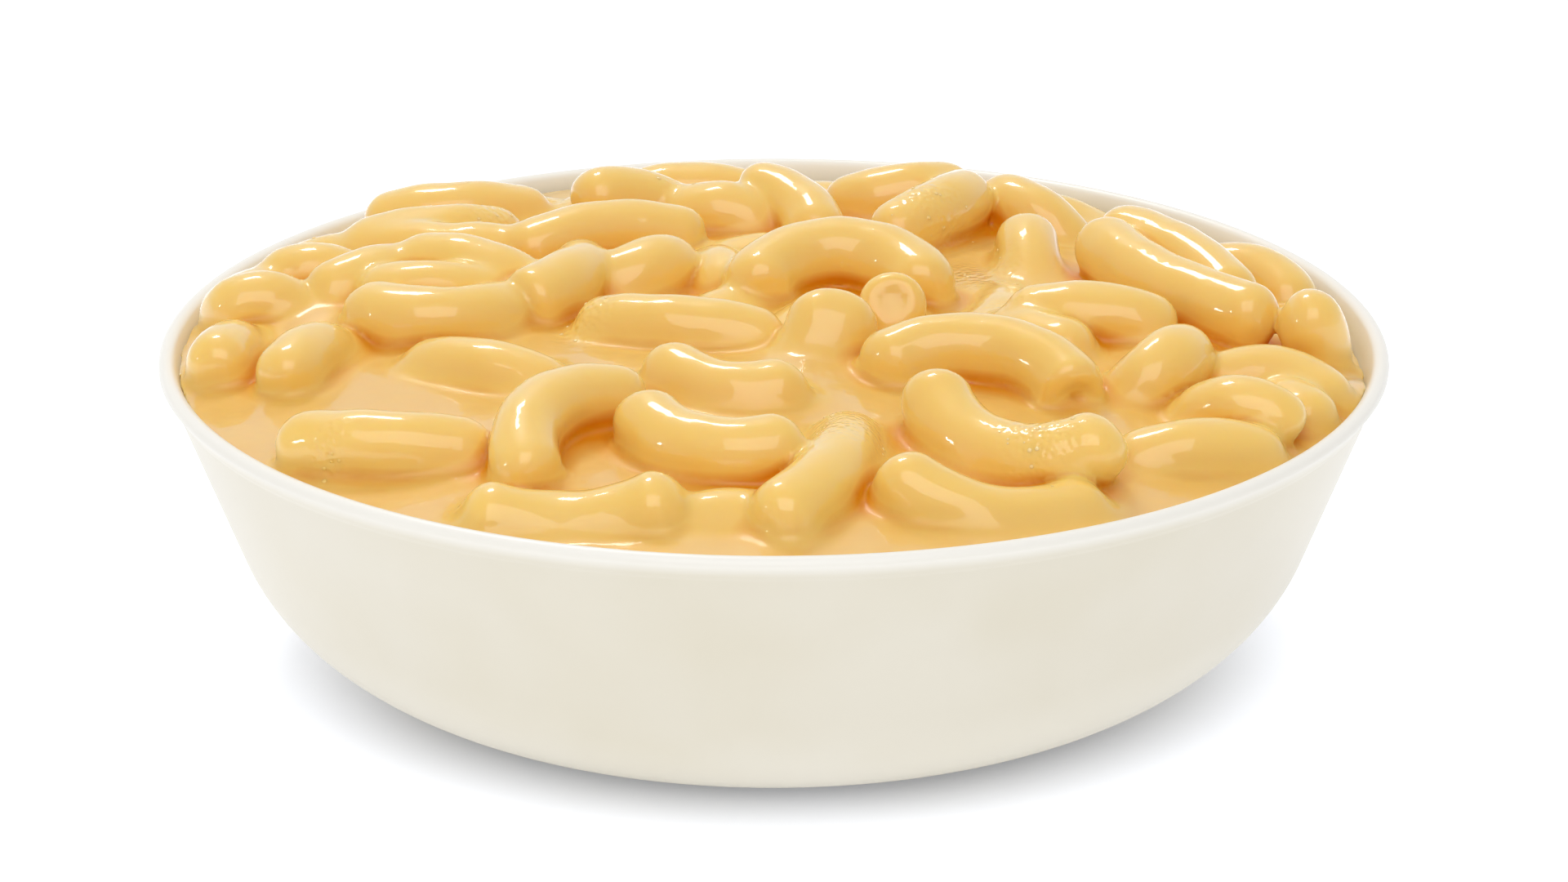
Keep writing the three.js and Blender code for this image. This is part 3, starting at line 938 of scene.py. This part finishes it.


# %% [markdown]
# ## Table and light
# The dish stands on a white table with a faint painted glow: it glows all round but not right
# under the bowl, so the picture's ground stays white, and the weaker glow close in paints the
# shade that hugs the bowl. A key lamp behind and to the left draws the crisp lines on the backs of
# the elbows, and a small side lamp adds sparks. A large soft window in front gives the pale bands
# on their flanks. A soft ceiling and white walls with a brighter backdrop fill the shadows.

# %% The table
TABLE_HALF = 3000
TABLE_WHITE = "e8e8e8"
# where the painted glow fades in, from just under the heel to well clear of it (mm), and the glow at
# both; the low glow close in paints the shade round the bowl
PAINTED_SHADE_FROM, PAINTED_SHADE_TO = 42.0, 60.0
PAINTED_GLOW_LOW, PAINTED_GLOW_HIGH = 0.12, 0.6
PAINTED_GLOW_NARROWING = 0.88
PAINTED_GLOW_TINT = "e8efff"
TABLE_GRAIN_SIZE = 4.0
TABLE_ROUGHNESS = (0.85, 0.95)


def table_material():
    """Matt white with a faint painted glow that fades out near the bowl, which paints the shade round
    its foot.
    """
    material, tree, shader, place = new_material("white table with painted glow and shade")
    lumps = noise(tree, place, TABLE_GRAIN_SIZE).outputs["Fac"]
    tree.links.new(rescale(tree, lumps, *NOISE_RANGE, *TABLE_ROUGHNESS), shader.inputs["Roughness"])
    shader.inputs["Base Color"].default_value = linear(TABLE_WHITE)
    # The glow's faint blue tint keeps the painted shade round the bowl grey, not warm.
    shader.inputs["Emission Color"].default_value = linear(PAINTED_GLOW_TINT)
    oval = add_node(tree, "ShaderNodeVectorMath", {"operation": "MULTIPLY"}, i0=place,
                    i1=(PAINTED_GLOW_NARROWING, 1, 1))
    away = add_node(tree, "ShaderNodeVectorMath", {"operation": "LENGTH"}, i0=oval.outputs[0])
    glow = rescale(tree, away.outputs["Value"], PAINTED_SHADE_FROM * MM, PAINTED_SHADE_TO * MM, PAINTED_GLOW_LOW, PAINTED_GLOW_HIGH)
    tree.links.new(glow, shader.inputs["Emission Strength"])
    return material


table_corners = [(x * TABLE_HALF, y * TABLE_HALF, 0) for x, y in ((-1, -1), (1, -1), (1, 1), (-1, 1))]
table = mesh_object("table", table_corners, [(0, 1, 2, 3)])
table.data.materials.append(table_material())


# %% The lights
WALL_STRENGTH = 0.56
BACKDROP_STRENGTH = 0.92
# how far round to the back a wall lies where it starts to brighten, and where it is brightest
BACKDROP_FROM, BACKDROP_TO = 0.3, 0.95
# places and sizes in millimetres, powers in watts
KEY = {"place": (-245, 674, 1054), "size": (300, 220), "power": 3.2}
SIDE = {"place": (-1360, -490, 420), "size": (70, 150), "power": 0.8}
CEILING = {"place": (0, 100, 1500), "size": (1400, 1400), "power": 1.0}
WINDOW = {"place": (0, -937, 1070), "size": (1100, 1000), "power": 6.7}
AIM = Vector((0, 0, 30))


def white_walls():
    """A world of white walls that are brighter towards the back."""
    world = bpy.data.worlds.new("white walls")
    world.use_nodes = True
    tree = world.node_tree
    walls = tree.nodes["Background"].inputs
    walls["Color"].default_value = linear("ffffff")
    heading = tree.nodes.new("ShaderNodeTexCoord").outputs["Generated"]
    behind = add_node(tree, "ShaderNodeSeparateXYZ", Vector=heading).outputs["Y"]
    brightness = rescale(tree, behind, BACKDROP_FROM, BACKDROP_TO, WALL_STRENGTH, BACKDROP_STRENGTH)
    tree.links.new(brightness, walls["Strength"])
    return world


def area_light(name, place, size, power):
    """A soft rectangular light that faces the dish."""
    data = bpy.data.lights.new(name, "AREA")
    data.shape = "RECTANGLE"
    data.size, data.size_y = size[0] * MM, size[1] * MM
    data.energy = power
    light = bpy.data.objects.new(name, data)
    light.location = Vector(place) * MM
    light.rotation_euler = (Vector(place) - AIM).to_track_quat("Z", "Y").to_euler()
    bpy.context.scene.collection.objects.link(light)
    print(name, power, "W")


bpy.context.scene.world = white_walls()
bpy.context.scene.view_settings.view_transform = "Standard"
area_light("key lamp", **KEY)
area_light("side lamp", **SIDE)
area_light("soft ceiling", **CEILING)
area_light("front window", **WINDOW)
